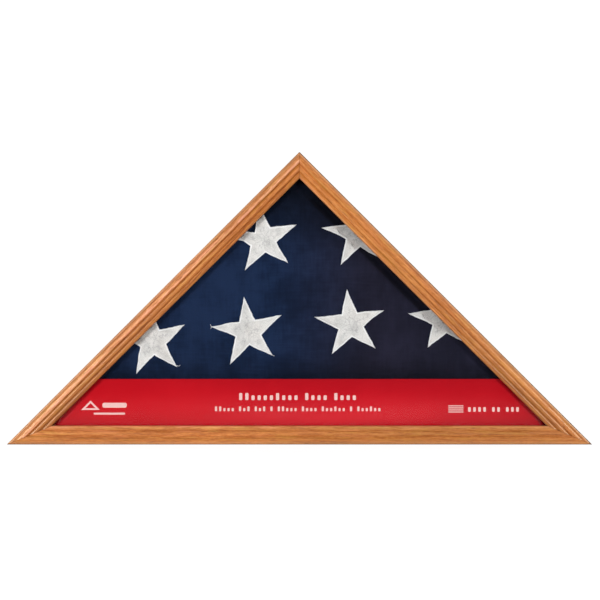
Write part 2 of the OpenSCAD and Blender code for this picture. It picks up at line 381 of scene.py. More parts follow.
def coated_card(name):
    """Red printed card with a silk coating and the slight waves of paper."""
    s = Shader(name)
    mottle = s.noise(s.place, 22.0, 3.0)
    speckle = s.noise(s.place, 2600.0, 1.0)
    waves = s.noise(s.scaled(s.place, (16, 16, 4)), 1.0, 1.0)
    colour = s.ramp(mottle, [(0.3, (0.445, 0.0040, 0.0108)), (0.7, (0.480, 0.0056, 0.0128))])
    colour = s.mix(s.ranged(speckle, 0.35, 0.75, 0.0, 0.10), colour, (0.50, 0.013, 0.021))
    # painted light: the card is made lighter at the left and darker towards the middle and the right
    painted_light_on_card = s.ranged(s.dot(s.place, (1, 0, 0)), -0.20, 0.02, 1.05, 0.92)
    colour = s.times(colour, s.combine(painted_light_on_card, 1.0, 1.0))
    return s.finish(
        Base_Color=colour,
        Roughness=0.55,
        Specular_IOR_Level=0.08,
        Normal=s.bump(waves, 0.3 * MM, 0.5),
    )


def ink(name, thin, full):
    """Ink on the card, with a little of the red showing through."""
    s = Shader(name)
    cover = s.noise(s.place, 1900.0)
    return s.finish(Base_Color=s.ramp(cover, [(0.25, thin), (0.6, full)]), Roughness=0.5)


def weave_height(s, pitch):
    """Height of a plain weave with the given thread pitch, over the XZ plane."""
    warp = s.wave(s.dot(s.place, (1, 0.3, 0)), pitch)
    weft = s.wave(s.dot(s.place, (0, 0.3, 1)), pitch)
    return s.product(warp, weft)


def beside_leg(s, side, near, far, strength):
    """Shade on the front of the flag beside a leg's moulding: full up to near, gone by far."""
    depth = s.dot(s.place, (0, 1, 0))
    front = s.ranged(depth, FLAG_LOW.y + 7 * MM, FLAG_LOW.y + 9 * MM, 1.0, 0.0)
    shade = s.ranged(s.inset(side), FACE_W + near, FACE_W + far, strength, 0.0)
    return s.product(shade, front)


NAVY_STOPS = [
    (0.0, (0.0028, 0.0073, 0.0222)),
    (0.5, (0.0045, 0.0111, 0.0330)),
    (1.0, (0.0073, 0.0164, 0.0462)),
]
PLUM_STOPS = [(0.0, (0.0068, 0.0062, 0.0125)), (1.0, (0.0122, 0.0108, 0.0212))]
NAVY_SHADE = (0.001, 0.001, 0.002)


def navy_cloth(name):
    """Navy bunting with slubs, going plum to the right, with painted shade at the top, at the foot
    and beside the legs.
    """
    s = Shader(name)
    cloud = s.noise(s.place, 17.0, 4.0, 0.6)
    slub = s.noise(s.scaled(s.place, (40, 200, 420)))
    slub_up = s.noise(s.scaled(s.place, (420, 200, 40)))
    threads = s.weighted((slub, 0.5), (slub_up, 0.5))
    shade = s.ranged(s.weighted((cloud, 0.7), (threads, 0.3)), 0.37, 0.63)
    to_right = s.ranged(s.dot(s.place, (1, 0, 0)), -0.04, 0.09, 0.0, 0.9)
    colour = s.mix(to_right, s.ramp(shade, NAVY_STOPS), s.ramp(shade, PLUM_STOPS))
    height = s.dot(s.place, (0, 0, 1))
    # painted shade: darker towards the apex and towards the foot above the card
    below_top = s.ranged(height, 0.205, 0.292, 1.0, 0.16)
    above_foot = s.ranged(height, 0.07, 0.11, 0.66, 1.0)
    light = s.product(below_top, above_foot)
    colour = s.times(colour, s.combine(light, light, light))
    # painted shade in the fold strip beside the right leg and along the left leg
    fold_foot = s.ranged(height, 0.125, 0.140)
    fold_top = s.ranged(height, 0.272, 0.290, 1.0, 0.0)
    fold_zone = s.product(fold_foot, fold_top)
    at_right = s.product(beside_leg(s, "right", 8.2 * MM, 11.0 * MM, 0.65), fold_zone)
    at_left = beside_leg(s, "left", 1 * MM, 9 * MM, 0.18)
    colour = s.mix(s.math("MAXIMUM", at_right, at_left), colour, NAVY_SHADE)
    bumps = s.weighted((weave_height(s, 0.7 * MM), 0.12), (threads, 1.0))
    return s.finish(
        Base_Color=colour,
        Roughness=0.9,
        Sheen_Weight=0.02,
        Sheen_Roughness=0.5,
        Specular_IOR_Level=0.06,
        Normal=s.bump(bumps, 0.12 * MM, 0.7),
    )


STITCH_PITCH_MM = 0.8
ROW_PITCH_MM = 1.5
STAR_STOPS = [(0.30, (0.38, 0.370, 0.362)), (0.5, (0.51, 0.50, 0.488)), (0.7, (0.59, 0.578, 0.563))]
STAR_EDGE = (0.70, 0.70, 0.705)
STAR_WARM = (0.54, 0.50, 0.47)
STAR_CREASE_SHADE = (0.19, 0.19, 0.20)
STAR_SHADE = (0.035, 0.03, 0.03)


def creases(s, scale, width):
    """Thin wandering lines, 1 on a line and 0 off it."""
    field = s.noise(s.place, scale, 2.0, 0.55)
    return s.ranged(s.math("ABSOLUTE", s.math("SUBTRACT", field, 0.5)), 0.0, width, 1.0, 0.0)


def star_thread(name):
    """White star cloth: densely stitched along the edge, creased and soiled inside, with painted
    shade in the creases and beside the legs.

    Each point of a star's mesh carries its distance from the edge and along it, in mm.
    """
    s = Shader(name)
    edge = s.node("ShaderNodeAttribute", {}, attribute_name="edge_mm").outputs["Fac"]
    run = s.node("ShaderNodeAttribute", {}, attribute_name="run_mm").outputs["Fac"]
    border = s.ranged(edge, 1.2, 2.0, 1.0, 0.0)
    middle = s.ranged(edge, 2.5, 8.0, 0.25, 1.0)
    zigzag = s.wave(run, STITCH_PITCH_MM)
    rows = s.wave(edge, ROW_PITCH_MM)
    soil = s.noise(s.place, 70.0, 4.0, 0.65)
    thread = s.noise(s.scaled(s.place, (700, 700, 1500)))
    folds = s.math("MAXIMUM", creases(s, 105.0, 0.030), creases(s, 230.0, 0.035))
    folds = s.product(folds, middle)
    corner = s.math("COSINE", s.product(run, math.pi / EDGE_LENGTH_MM))
    seam = s.product(s.ranged(corner, -1.0, -0.975, 1.0, 0.0), s.ranged(soil, 0.38, 0.55))
    folds = s.math("MAXIMUM", folds, s.product(seam, s.ranged(edge, 1.5, 5.0, 0.0, 0.6)))
    inside = s.ramp(soil, STAR_STOPS)
    warmth = s.noise(s.place, 30.0)
    inside = s.mix(s.ranged(warmth, 0.45, 0.70, 0.0, 0.35), inside, STAR_WARM)
    inside = s.mix(s.ranged(rows, -1.0, -0.3, 0.12, 0.0), inside, (0.30, 0.30, 0.30))
    inside = s.mix(s.ranged(thread, 0.3, 0.7, 0.14, 0.0), inside, (0.33, 0.33, 0.33))
    # painted shade in the creases and at the seams by the notches
    inside = s.mix(s.product(folds, 0.5), inside, STAR_CREASE_SHADE)
    colour = s.mix(s.product(border, 0.85), inside, STAR_EDGE)
    at_right = beside_leg(s, "right", 1 * MM, 30 * MM, 0.30)
    at_left = beside_leg(s, "left", 0, 7 * MM, 0.15)
    colour = s.mix(s.math("MAXIMUM", at_right, at_left), colour, STAR_SHADE)
    stitches = s.product(zigzag, border)
    height = s.weighted((stitches, 0.5), (thread, 1.0), (rows, 0.25), (folds, -1.0))
    return s.finish(
        Base_Color=colour,
        Roughness=0.8,
        Sheen_Weight=0.05,
        Sheen_Roughness=0.4,
        Specular_IOR_Level=0.25,
        Normal=s.bump(height, 0.18 * MM, 0.8),
    )


def hardboard(name):
    """Brown pressed hardboard: fine fibres, and the screen pattern of its rough face."""
    s = Shader(name)
    fibre = s.noise(s.scaled(s.place, (240, 240, 420)), 1.0, 4.0, 0.7)
    cloud = s.noise(s.place, 14.0, 3.0)
    shade = s.ranged(s.weighted((fibre, 0.85), (cloud, 0.15)), 0.34, 0.66)
    stops = [(0.0, (0.072, 0.036, 0.017)), (0.5, (0.112, 0.060, 0.030)), (1.0, (0.165, 0.098, 0.053))]
    colour = s.ramp(shade, stops)
    height = s.weighted((weave_height(s, 1.6 * MM), 0.5), (fibre, 1.0))
    return s.finish(Base_Color=colour, Roughness=0.72, Normal=s.bump(height, 0.2 * MM, 0.8))


def metal(name, dark, light, roughness, scratch):
    """Plated metal with soft spangles and fine scratches."""
    s = Shader(name)
    spangle = s.dot(s.cells(s.place, 420.0), (0.33, 0.33, 0.33))
    scratches = s.noise(s.scaled(s.place, (2200, 2200, 160)), 1.0, 3.0)
    tarnish = s.noise(s.place, 160.0, 4.0, 0.6)
    shade = s.weighted((spangle, 0.35), (tarnish, 0.65))
    return s.finish(
        Base_Color=s.ramp(shade, [(0.3, dark), (0.65, light)]),
        Metallic=1.0,
        Roughness=s.ranged(tarnish, 0.3, 0.7, roughness, roughness + 0.14),
        Normal=s.bump(scratches, scratch * MM, 0.6),
    )


def filler(name):
    """Wood filler over the brads: a little lighter and drier than the oak round it."""
    s = Shader(name)
    grit = s.noise(s.place, 2400.0)
    colour = s.ramp(grit, [(0.3, (0.42, 0.185, 0.070)), (0.7, (0.58, 0.290, 0.120))])
    return s.finish(Base_Color=colour, Roughness=0.62, Normal=s.bump(grit, 0.05 * MM, 0.6))


ZINC = metal("zinc_steel", (0.40, 0.42, 0.45), (0.62, 0.64, 0.66), 0.30, 0.02)
BRASS = metal("button_brass", (0.42, 0.27, 0.085), (0.70, 0.50, 0.20), 0.26, 0.02)
STEEL = metal("bright_steel", (0.48, 0.48, 0.48), (0.68, 0.68, 0.67), 0.22, 0.01)

# ---- the CAD nodes that stay: their materials and eased edges ----

MOULDING_SEED = 1.3
BOARD_SEED = 7.9
STOP_SEED = 4.4
BOARD_TONE = 0.94
STOP_TONE = 0.8
WELD_GAP = 0.002 * MM  # points of a CAD mesh that are closer than this are one point


def dress(node_name, material, edge=0.0, segments=2):
    """Gives a CAD node its material, joins its split points and eases its edges."""
    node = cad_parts[node_name]
    node.material_slots[0].material = material
    mesh = node.data
    mesh.attributes.remove(mesh.attributes["custom_normal"])
    mesh.shade_smooth()
    weld = node.modifiers.new("joined", "WELD")
    weld.merge_threshold = WELD_GAP
    if edge:
        eased = node.modifiers.new("eased", "BEVEL")
        eased.width = edge
        eased.segments = segments
        eased.limit_method = "ANGLE"
        eased.angle_limit = math.radians(35)
        eased.harden_normals = True
        eased.miter_outer = "MITER_ARC"


def dress_all():
    """Gives every CAD node that stays its material and its eased edges."""
    for index, side in enumerate(SIDES):
        moulding = oak(f"oak_moulding_{side}", side, MOULDING_SEED + index, moulding=True)
        dress(f"face_moulding_{side}", moulding, 0.25 * MM)
        board = oak(f"oak_board_{side}", side, BOARD_SEED + index, tone=BOARD_TONE)
        dress(f"box_board_{side}", board, 0.4 * MM)
        stop = oak(f"stop_wood_{side}", side, STOP_SEED + index, tone=STOP_TONE)
        dress(f"glass_stop_{side}", stop, 0.2 * MM)
    dress("glass_pane", glass("clear_glass"), 0.2 * MM)
    dress("printed_card", coated_card("red_card"))
    dress("back_panel", hardboard("hardboard"), 0.3 * MM)
    dress("sawtooth_hanger", ZINC, 0.08 * MM)
    for node_name in ("hanger_nails", "turn_button_screws"):
        dress(node_name, ZINC, 0.06 * MM)
    for node_name in ("corner_v_nails", "corner_brads", "stop_brads"):
        dress(node_name, STEEL, 0.04 * MM)
    for node_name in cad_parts:
        if node_name.startswith("turn_button_") and node_name != "turn_button_screws":
            dress(node_name, BRASS, 0.18 * MM, 3)


# ---- mesh helpers ----


def placed(name, data):
    """A new object in the scene."""
    made = bpy.data.objects.new(name, data)
    bpy.context.scene.collection.objects.link(made)
    return made


def new_object(name, bm, material, keep_normals=False):
    """A smooth-shaded object from a bmesh, which is freed."""
    mesh = bpy.data.meshes.new(name)
    if not keep_normals:
        bmesh.ops.recalc_face_normals(bm, faces=bm.faces)
    bm.to_mesh(mesh)
    bm.free()
    mesh.shade_smooth()
    mesh.materials.append(material)
    return placed(name, mesh)


def join_rings(bm, rings):
    """Faces from each closed ring of points to the next. Returns them."""
    made = []
    for ring, after in zip(rings, rings[1:]):
        for i in range(len(ring)):
            k = (i + 1) % len(ring)
            made.append(bm.faces.new((ring[i], ring[k], after[k], after[i])))
    return made


def circle(bm, centre, across, radius, sides):
    """Ring of points round a centre, in the plane of a direction and Y."""
    ring = []
    for k in range(sides):
        angle = 2 * math.pi * k / sides
        out = across * math.cos(angle) + Vector((0, math.sin(angle), 0))
        ring.append(bm.verts.new(centre + out * radius))
    return ring


def rounded_triangle(inset, radius, step):
    """The case's outline moved inward, corners rounded: ((x, z), outward normal) pairs."""
    centre_inset = inset + radius
    foot_x = HALF_W - centre_inset * (1 + ROOT2)
    corners = [
        (Vector((foot_x, centre_inset)), -90, 45),
        (Vector((0, HALF_W - centre_inset * ROOT2)), 45, 135),
        (Vector((-foot_x, centre_inset)), 135, 270),
    ]
    knots = []
    for centre, start, end in corners:
        turns = max(4, int((end - start) / 9))
        for i in range(turns + 1):
            angle = math.radians(start + (end - start) * i / turns)
            normal = Vector((math.cos(angle), math.sin(angle)))
            knots.append((centre + normal * radius, normal))
    points = []
    for i, (spot, normal) in enumerate(knots):
        after, after_normal = knots[(i + 1) % len(knots)]
        pieces = max(1, round((after - spot).length / step))
        for k in range(pieces):
            share = k / pieces
            points.append((spot.lerp(after, share), normal.lerp(after_normal, share).normalized()))
    return points


def filled(outline, spacing):
    """Triangulates the inside of an outline over a hexagonal grid of points."""
    low_x = min(p.x for p in outline)
    high_x = max(p.x for p in outline)
    low_z = min(p.y for p in outline)
    high_z = max(p.y for p in outline)
    row_h = spacing * math.sqrt(3) / 2
    points = list(outline)
    centre = sum(outline, Vector((0, 0))) / len(outline)
    inner = []
    for p in outline:
        shrink = 1 - 0.6 * spacing / max((p - centre).length, spacing)
        inner.append(centre + (p - centre) * shrink)
    row = 0
    z = low_z + row_h
    while z < high_z:
        crossings = []
        for a, b in zip(inner, inner[1:] + inner[:1]):
            if (a.y > z) != (b.y > z):
                crossings.append(a.x + (b.x - a.x) * (z - a.y) / (b.y - a.y))
        crossings.sort()
        for start, end in zip(crossings[::2], crossings[1::2]):
            first = math.ceil((start - low_x) / spacing - 0.5 * (row % 2))
            x = low_x + (first + 0.5 * (row % 2)) * spacing
            while x < min(end, high_x):
                points.append(Vector((x, z)))
                x += spacing
        z += row_h
        row += 1
    loop = [(i, (i + 1) % len(outline)) for i in range(len(outline))]
    places, _, faces, vert_sources, _, _ = geometry.delaunay_2d_cdt(points, loop, [], 1, 1e-7)
    spot_of = {source: i for i, sources in enumerate(vert_sources) for source in sources}
    return places, faces, [spot_of[i] for i in range(len(outline))]


# ---- the folded flag ----

LEAVES = 11
FULL_LEAVES = 8  # the leaves behind these are each a little smaller
LEAF_T = (FLAG_HIGH.y - FLAG_LOW.y) / LEAVES
RIM_R = LEAF_T / 2
RIM_STEPS = 8
CORNER_R = 14 * MM
OUTLINE_STEP = 4 * MM
GRID = 3.4 * MM
SIGHT_APEX_Z = TOP_Z - FACE_W * ROOT2
WRINKLE_MAX = 2.4 * MM
DEPTH_MAX = LEAF_T - 0.3 * MM
SIM_FRAMES = 26
SLACK = 0.010  # share by which the cloth is longer than the space it spans


def simulated_depths(places, faces, pinned, seed):
    """Lets a slightly slack sheet of cloth settle between pinned edges. Returns its Y offsets."""
    mesh = bpy.data.meshes.new("settling")
    verts = [(p.x, 0.5 * MM * waver(p.x, p.y, 30, seed), p.y) for p in places]
    mesh.from_pydata(verts, [], faces)
    sheet = placed("settling", mesh)
    sheet.vertex_groups.new(name="held").add(pinned, 1.0, "REPLACE")
    cloth = sheet.modifiers.new("cloth", "CLOTH")
    fabric = cloth.settings
    fabric.quality = 5
    fabric.mass = 0.25
    fabric.tension_stiffness = 12
    fabric.compression_stiffness = 12
    fabric.shear_stiffness = 6
    fabric.bending_stiffness = 1.2
    fabric.vertex_group_mass = "held"
    fabric.shrink_min = -SLACK
    fabric.effector_weights.gravity = 0.25
    cloth.collision_settings.use_collision = False
    cloth.collision_settings.use_self_collision = False
    cloth.point_cache.frame_start = 1
    cloth.point_cache.frame_end = SIM_FRAMES
    for step in range(1, SIM_FRAMES + 1):
        bpy.context.scene.frame_set(step)
    settled = sheet.evaluated_get(bpy.context.evaluated_depsgraph_get())
    depths = [v.co.y for v in settled.data.vertices]
    bpy.context.scene.frame_set(1)
    bpy.data.objects.remove(sheet)
    bpy.data.meshes.remove(mesh)
    return depths


def fold_recess(x, z):
    """How far the front face falls back from its plane: at the legs, the apex and the card."""
    from_right = inset_of("right", x, z) - FACE_W
    from_left = inset_of("left", x, z) - FACE_W
    fold_zone = smooth((0.290 - z) / 0.020) * smooth((z - 0.118) / 0.022)
    right_fold = 4.8 * MM * fold_zone * (1 - smooth((from_right - 7.5 * MM) / (4 * MM)))
    right_roll = 3.4 * MM * (1 - smooth(from_right / (9 * MM)))
    left_roll = 2.6 * MM * (1 - smooth(from_left / (10 * MM)))
    below_apex = (SIGHT_APEX_Z - z) + 0.6 * abs(x)
    at_apex = 4.8 * MM * (1 - smooth((below_apex - 8 * MM) / (22 * MM)))
    at_card = 2.6 * MM * (1 - smooth(abs(z - CARD_TOP) / (9 * MM)))
    return max(right_fold, right_roll, left_roll, at_apex, at_card)


def leaf_inset(number):
    """How far a leaf's rim lies from the outer faces of the case."""
    inset = FLAG_FRONT_INSET if number == 0 else FLAG_SIDE_INSET
    steps = max(0, number - FULL_LEAVES + 1)
    return inset + steps ** 2 * 0.35 * MM


def leaf_rings(number, front_y, back_y):
    """Rings of points down a leaf's rounded rim, from its front edge to its back edge."""
    outline = rounded_triangle(leaf_inset(number) + RIM_R, CORNER_R, OUTLINE_STEP)
    middle_y = (front_y + back_y) / 2
    half_t = (back_y - front_y) / 2
    rings = []
    for i in range(RIM_STEPS + 1):
        angle = math.pi * (i / RIM_STEPS - 0.5)
        ring = []
        for spot, normal in outline:
            ripple = waver(spot.x, spot.y, 16, number * 7.3)
            out = (RIM_R - 0.5 * MM + 0.5 * MM * ripple) * math.cos(angle)
            sway = 0.35 * MM * waver(spot.x, spot.y, 22, number * 3.1 + 50)
            y = middle_y + half_t * math.sin(angle) + sway * math.cos(angle)
            if number == 0:
                y += fold_recess(spot.x, spot.y) * (1 - i / RIM_STEPS)
            place = spot + normal * out
            ring.append((place.x, y, place.y))
        rings.append(ring)
    return rings


def add_leaf(bm, number, places, depths, faces, outline_spots):
    """One folded leaf: a rounded rim between a front and a back face."""
    front_y = FLAG_LOW.y + number * LEAF_T
    back_y = front_y + LEAF_T
    loops = []
    for ring in leaf_rings(number, front_y, back_y):
        loops.append([bm.verts.new(point) for point in ring])
    join_rings(bm, loops)
    for end, outer_leaf, plane_y, way in ((0, 0, front_y, 1), (-1, LEAVES - 1, back_y, -1)):
        if number != outer_leaf:
            bm.faces.new(loops[end])
            continue
        vert_of = dict(zip(outline_spots, loops[end]))
        for i, place in enumerate(places):
            if i not in vert_of:
                vert_of[i] = bm.verts.new((place.x, plane_y + way * depths[i], place.y))
        for face in faces:
            bm.faces.new([vert_of[i] for i in face])


def rest_depths(inset, recess, seed):
    """Grid of one face of the bundle and how far each point lies behind its plane."""
    outline = [spot for spot, _ in rounded_triangle(inset + RIM_R, CORNER_R, OUTLINE_STEP)]
    places, faces, outline_spots = filled(outline, GRID)
    depths = []
    for place, value in zip(places, simulated_depths(places, faces, outline_spots, seed)):
        edge_gap = outer_gap(place.x, place.y) - inset - RIM_R
        wrinkle = min(abs(value), WRINKLE_MAX) * smooth(edge_gap / (9 * MM))
        depths.append(min(wrinkle + recess(place.x, place.y), DEPTH_MAX))
    return places, depths, faces, outline_spots


def fold_flag(material):
    """The whole folded flag: a stack of leaves with cloth-simulated outer faces."""
    front = rest_depths(FLAG_FRONT_INSET, fold_recess, 1.0)
    back = rest_depths(leaf_inset(LEAVES - 1), lambda x, z: 0.0, 9.0)
    bm = bmesh.new()
    for number in range(LEAVES):
        add_leaf(bm, number, *(back if number == LEAVES - 1 else front))
    flag = new_object("folded_flag_cloth", bm, material)
    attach(flag, "case")
    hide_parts("folded_flag")
    return flag


# ---- the stars ----

# Centres of the stars on the front and the back of the flag, (x, z) in mm.
STAR_PLACES = [(-166, 116), (-58, 127), (58, 136), (165, 141), (-41, 232), (67, 238)]
BACK_STAR_PLACES = [(-150, 88), (-45, 94), (60, 90), (160, 84), (-62, 196), (44, 190)]
BORDER_RINGS_MM = [0.0, 0.25, 0.6, 1.0, 1.4, 1.8, 2.4, 3.2]
INNER_RINGS = 12
EDGE_STEPS = 22
STAR_THICK = 0.45 * MM
# How far each tip of every star is pulled from true, (x, z) in mm: top, left, lower left, lower
# right and right.
TIP_PULLS = [(0, -0.8), (-1.5, -1.6), (-0.5, -0.2), (0.8, 0.8), (1.0, -0.2)]
# Further pulls of single tips: (star number, tip number) and the shift in mm.
LONG_TIPS = {
    (0, 1): (-1.5, -1.5),
    (0, 2): (1.0, -1.6),
    (0, 3): (-0.6, 0.0),
    (0, 4): (-1.4, 2.6),
    (1, 1): (-1.0, -0.9),
    (1, 2): (-0.8, -1.7),
    (1, 3): (0.0, 1.6),
    (1, 4): (0.3, 2.0),
    (2, 1): (-1.0, 1.0),
    (2, 2): (-0.7, 1.1),
    (2, 3): (0.0, 0.8),
    (2, 4): (0.0, -1.6),
    (3, 1): (-1.2, 0.4),
    (3, 2): (0.8, 3.2),
    (4, 1): (-1.5, -4.5),
    (4, 3): (0.0, 1.6),
    (5, 1): (-1.0, 0.0),
}
# Notches that the stitching pulled out of place, in the same way.
LONG_NOTCHES = {
    (4, 0): (1.0, -4.0),
    (4, 1): (0.0, -1.3),
}
TIP_START = 0.45  # a pull on a tip begins at this share of a star's radius
NOTCH_REACH = 0.45 * STAR_R


def star_pull(number, place):
    """Shift of a point of a star, from how near it is to the tips and notches."""
    shift = Vector((0, 0))
    for tip, pull in enumerate(TIP_PULLS):
        reach = place.dot(star_corner(2 * tip, 1)) / STAR_R
        share = smooth((reach - TIP_START) / (1 - TIP_START))
        shift += (Vector(pull) + Vector(LONG_TIPS.get((number, tip), (0, 0)))) * MM * share
    for (star, notch), pull in LONG_NOTCHES.items():
        if star == number:
            gap = (place - star_corner(2 * notch + 1, NOTCH_R)).length
            shift += Vector(pull) * MM * smooth(1 - gap / NOTCH_REACH)
    return shift


def star_outline():
    """Points along the ten edges of a star, with the distance run along them."""
    corners = [star_corner(i, NOTCH_R if i % 2 else STAR_R) for i in range(10)]
    points = []
    run = 0.0
    for a, b in zip(corners, corners[1:] + corners[:1]):
        length = (b - a).length
        for k in range(EDGE_STEPS):
            points.append((a.lerp(b, k / EDGE_STEPS), run + length * k / EDGE_STEPS))
        run += length
    return points


def ring_shares():
    """Scale of each ring of a star and its distance from the edge, from edge to centre."""
    distances = [d * MM for d in BORDER_RINGS_MM]
    start = distances[-1]
    just_short = 0.985  # the last ring stays open, and one face fills it
    for i in range(1, INNER_RINGS + 1):
        distances.append(start + (EDGE_DISTANCE - start) * (i / INNER_RINGS) * just_short)
    return [(1 - d / EDGE_DISTANCE, d) for d in distances]


def star_height(edge, x, z, seed):
    """Height of the star's surface above the cloth: a stitched ridge round a puckered middle."""
    ridge = 0.30 * MM * smooth(edge / (0.5 * MM)) * (1 - smooth((edge - 1.2 * MM) / (0.9 * MM)))
    pucker = 0.16 * waver(x, z, 120, seed) + 0.10 * waver(x, z, 320, seed + 5)
    inside = smooth((edge - 1.2 * MM) / (3 * MM))
    return 0.28 * MM * smooth(edge / (0.35 * MM)) + ridge + inside * MM * pucker


def rough_edge(spot, seed):
    """Small shift that makes a star's cut edge uneven."""
    shift = Vector((0, 0))
    for pitch, size in ((45, 0.9), (260, 0.4)):
        across = waver(spot.x, spot.y, pitch, seed)
        up = waver(spot.x, spot.y, pitch, seed + 9)
        shift += Vector((across, up)) * size * MM
    return shift


def cut_to_case(bm, made, inset):
    """Cuts new faces back to the case's outline moved inward. Returns the points that remain."""
    verts = {v for face in made for v in face.verts}
    edges = {e for face in made for e in face.edges}
    kept = list(verts) + list(edges) + made
    for _, inward, offset in SIDES.values():
        result = bmesh.ops.bisect_plane(
            bm,
            geom=kept,
            plane_co=inward * (inset - offset),
            plane_no=-inward,
            clear_outer=True,
            dist=0.01 * MM,
        )
        kept = [g for g in result["geom"] if g.is_valid]
    return kept


def add_star(bm, layers, centre, number, surface, way, inset):
    """One star patch, laid on the flag's surface and cut where the flag ends."""
    edge_layer, run_layer = layers
    seed = 3.7 * number + 1
    outline = star_outline()
    loops = []
    for share, edge in ring_shares():
        loop = []
        for place, run in outline:
            spot = centre + place * share + star_pull(number, place * share)
            spot += rough_edge(spot, seed)
            vert = bm.verts.new((spot.x, 0, spot.y))
            vert[edge_layer] = edge / MM
            vert[run_layer] = run / MM
            loop.append(vert)
        loops.append(loop)
    made = join_rings(bm, loops)
    made.append(bm.faces.new(loops[-1]))
    kept = cut_to_case(bm, made, inset)
    verts = [g for g in kept if isinstance(g, bmesh.types.BMVert)]
    for vert in verts:
        x, z = vert.co.x, vert.co.z
        hit, normal, _, _ = surface.ray_cast(Vector((x, -way, z)), Vector((0, way, 0)))
        height = star_height(vert[edge_layer] * MM, x, z, seed)
        outward = normal if normal.y * way < 0 else -normal
        vert.co = hit + outward * height
    faces = [g for g in kept if isinstance(g, bmesh.types.BMFace)]
    for face in faces:
        face.normal_update()
        if face.normal.y * way > 0:
            face.normal_flip()


def sew_stars(name, flag, places, way, inset, material):
    """Star patches on the front (way 1) or the back (way -1) of the flag, as one piece."""
    surface = BVHTree.FromObject(flag, bpy.context.evaluated_depsgraph_get())
    bm = bmesh.new()
    layers = [bm.verts.layers.float.new(key) for key in ("edge_mm", "run_mm")]
    for number, (x, z) in enumerate(places):
        add_star(bm, layers, Vector((x, z)) * MM, number, surface, way, inset)
    stars = new_object(name, bm, material, keep_normals=True)
    cloth = stars.modifiers.new("cloth_thickness", "SOLIDIFY")
    cloth.thickness = STAR_THICK
    cloth.offset = -1
    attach(stars, "case")
    return stars


# Loose ends of thread at the stars: start (x, z) in mm, heading in degrees, turn and length in mm.
THREADS = [
    (-139.0, 88.9, -42, 100, 4.6),
    (-99.5, 132.6, 140, -60, 3.4),
    (-99.0, 132.6, 215, 50, 3.0),
    (-30.0, 100.2, -40, 40, 1.8),
]


def add_thread(bm, surface, x, z, heading, turn, length):
    """A loose end of thread lying on the flag, a little thinner towards its end."""
    steps = 14
    radius = 0.28 * MM
    lift = Vector((0, -0.4 * MM, 0))
    rings = []
    for i in range(steps + 1):
        hit, _, _, _ = surface.ray_cast(Vector((x, -1, z)), Vector((0, 1, 0)))
        across = Vector((-math.sin(heading), 0, math.cos(heading)))
        rings.append(circle(bm, hit + lift, across, radius * (1 - 0.4 * i / steps), 6))
        x += math.cos(heading) * length / steps
        z += math.sin(heading) * length / steps
        heading += turn / steps
    join_rings(bm, rings)
    bm.faces.new(rings[0][::-1])
    bm.faces.new(rings[-1])


def add_loose_threads(flag, material):
    """All the loose ends of thread, as one piece."""
    surface = BVHTree.FromObject(flag, bpy.context.evaluated_depsgraph_get())
    bm = bmesh.new()
    for x, z, heading, turn, length in THREADS:
        angles = (math.radians(heading), math.radians(turn))
        add_thread(bm, surface, x * MM, z * MM, *angles, length * MM)
    threads = new_object("star_loose_threads", bm, material)
    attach(threads, "case")


def dress_flag():
    """The flag with its stars and threads."""
    navy = navy_cloth("navy_cloth")
    white = star_thread("star_cloth")
    flag = fold_flag(navy)
    bpy.context.view_layer.update()
    front = sew_stars("flag_star_patches", flag, STAR_PLACES, 1, FLAG_FRONT_INSET + 0.3 * MM, white)
    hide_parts("flag_stars")
    sew_stars("flag_back_stars", flag, BACK_STAR_PLACES, -1, FLAG_FRONT_INSET + 4 * MM, white)
    add_loose_threads(flag, white)


# ---- wood filler over the corner brads ----


def islands(node):
    """The world-space points of each loose part of a node."""
    bm = bmesh.new()
    bm.from_mesh(node.data)
    bmesh.ops.remove_doubles(bm, verts=bm.verts, dist=WELD_GAP)
    seen = set()
    parts = []
    for first in bm.verts:
        if first in seen:
            continue
        seen.add(first)
        waiting = [first]
        part = []
        while waiting:
            vert = waiting.pop()
            part.append(node.matrix_world @ vert.co)
            near = [edge.other_vert(vert) for edge in vert.link_edges]
            fresh = [other for other in near if other not in seen]
            seen.update(fresh)
            waiting += fresh
        parts.append(part)
    bm.free()
    return parts


PLUG_R = 0.78 * MM
PLUG_CROWN_R = 0.5 * MM


def add_fillers():
    """A plug of wood filler in the hole over each corner brad."""
    bm = bmesh.new()
    for points in islands(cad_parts["corner_brads"]):
        centre = sum(points, Vector()) / len(points)
        one_end = max(points, key=lambda p: (p - centre).length)
        other_end = max(points, key=lambda p: (p - one_end).length)
        head_end = min(one_end, other_end, key=lambda p: outer_gap(p.x, p.z))
        side = min(SIDES, key=lambda name: inset_of(name, head_end.x, head_end.z))
        _, inward, _ = SIDES[side]
        head_gap = inset_of(side, head_end.x, head_end.z)
        head = centre + inward * (head_gap - inset_of(side, centre.x, centre.z))
        levels = [
            (0.02 * MM, PLUG_R),
            (head_gap - 0.02 * MM, PLUG_R),
            (head_gap + 0.03 * MM, PLUG_CROWN_R),
        ]
        across = Vector((inward.z, 0, -inward.x))
        rings = [circle(bm, head - inward * out, across, radius, 16) for out, radius in levels]
        join_rings(bm, rings)
        bm.faces.new(rings[0])
        bm.faces.new(rings[-1])
    plugs = new_object("brad_fillers", bm, filler("wood_filler"))
    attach(plugs, "case")


# ---- the print on the card ----

PRINT_T = 0.04 * MM
# Width, end radius and gap between words of the blocks, as shares of their pitch.
BLOCK_W = 0.52
BLOCK_R = 0.16
WORD_GAP = 0.75


def add_bar(bm, x_low, x_high, z_low, z_high, radius):
    """A flat bar of ink with round ends."""
    radius = min(radius, (z_high - z_low) / 2, (x_high - x_low) / 2)
    corners = [
        (x_high - radius, z_low + radius, -90),
        (x_high - radius, z_high - radius, 0),
        (x_low + radius, z_high - radius, 90),
        (x_low + radius, z_low + radius, 180),
    ]
    ring = []
    for x, z, start in corners:
        for i in range(7):
            angle = math.radians(start + 15 * i)
            ring.append((x + radius * math.cos(angle), z + radius * math.sin(angle)))
    add_slab(bm, ring)


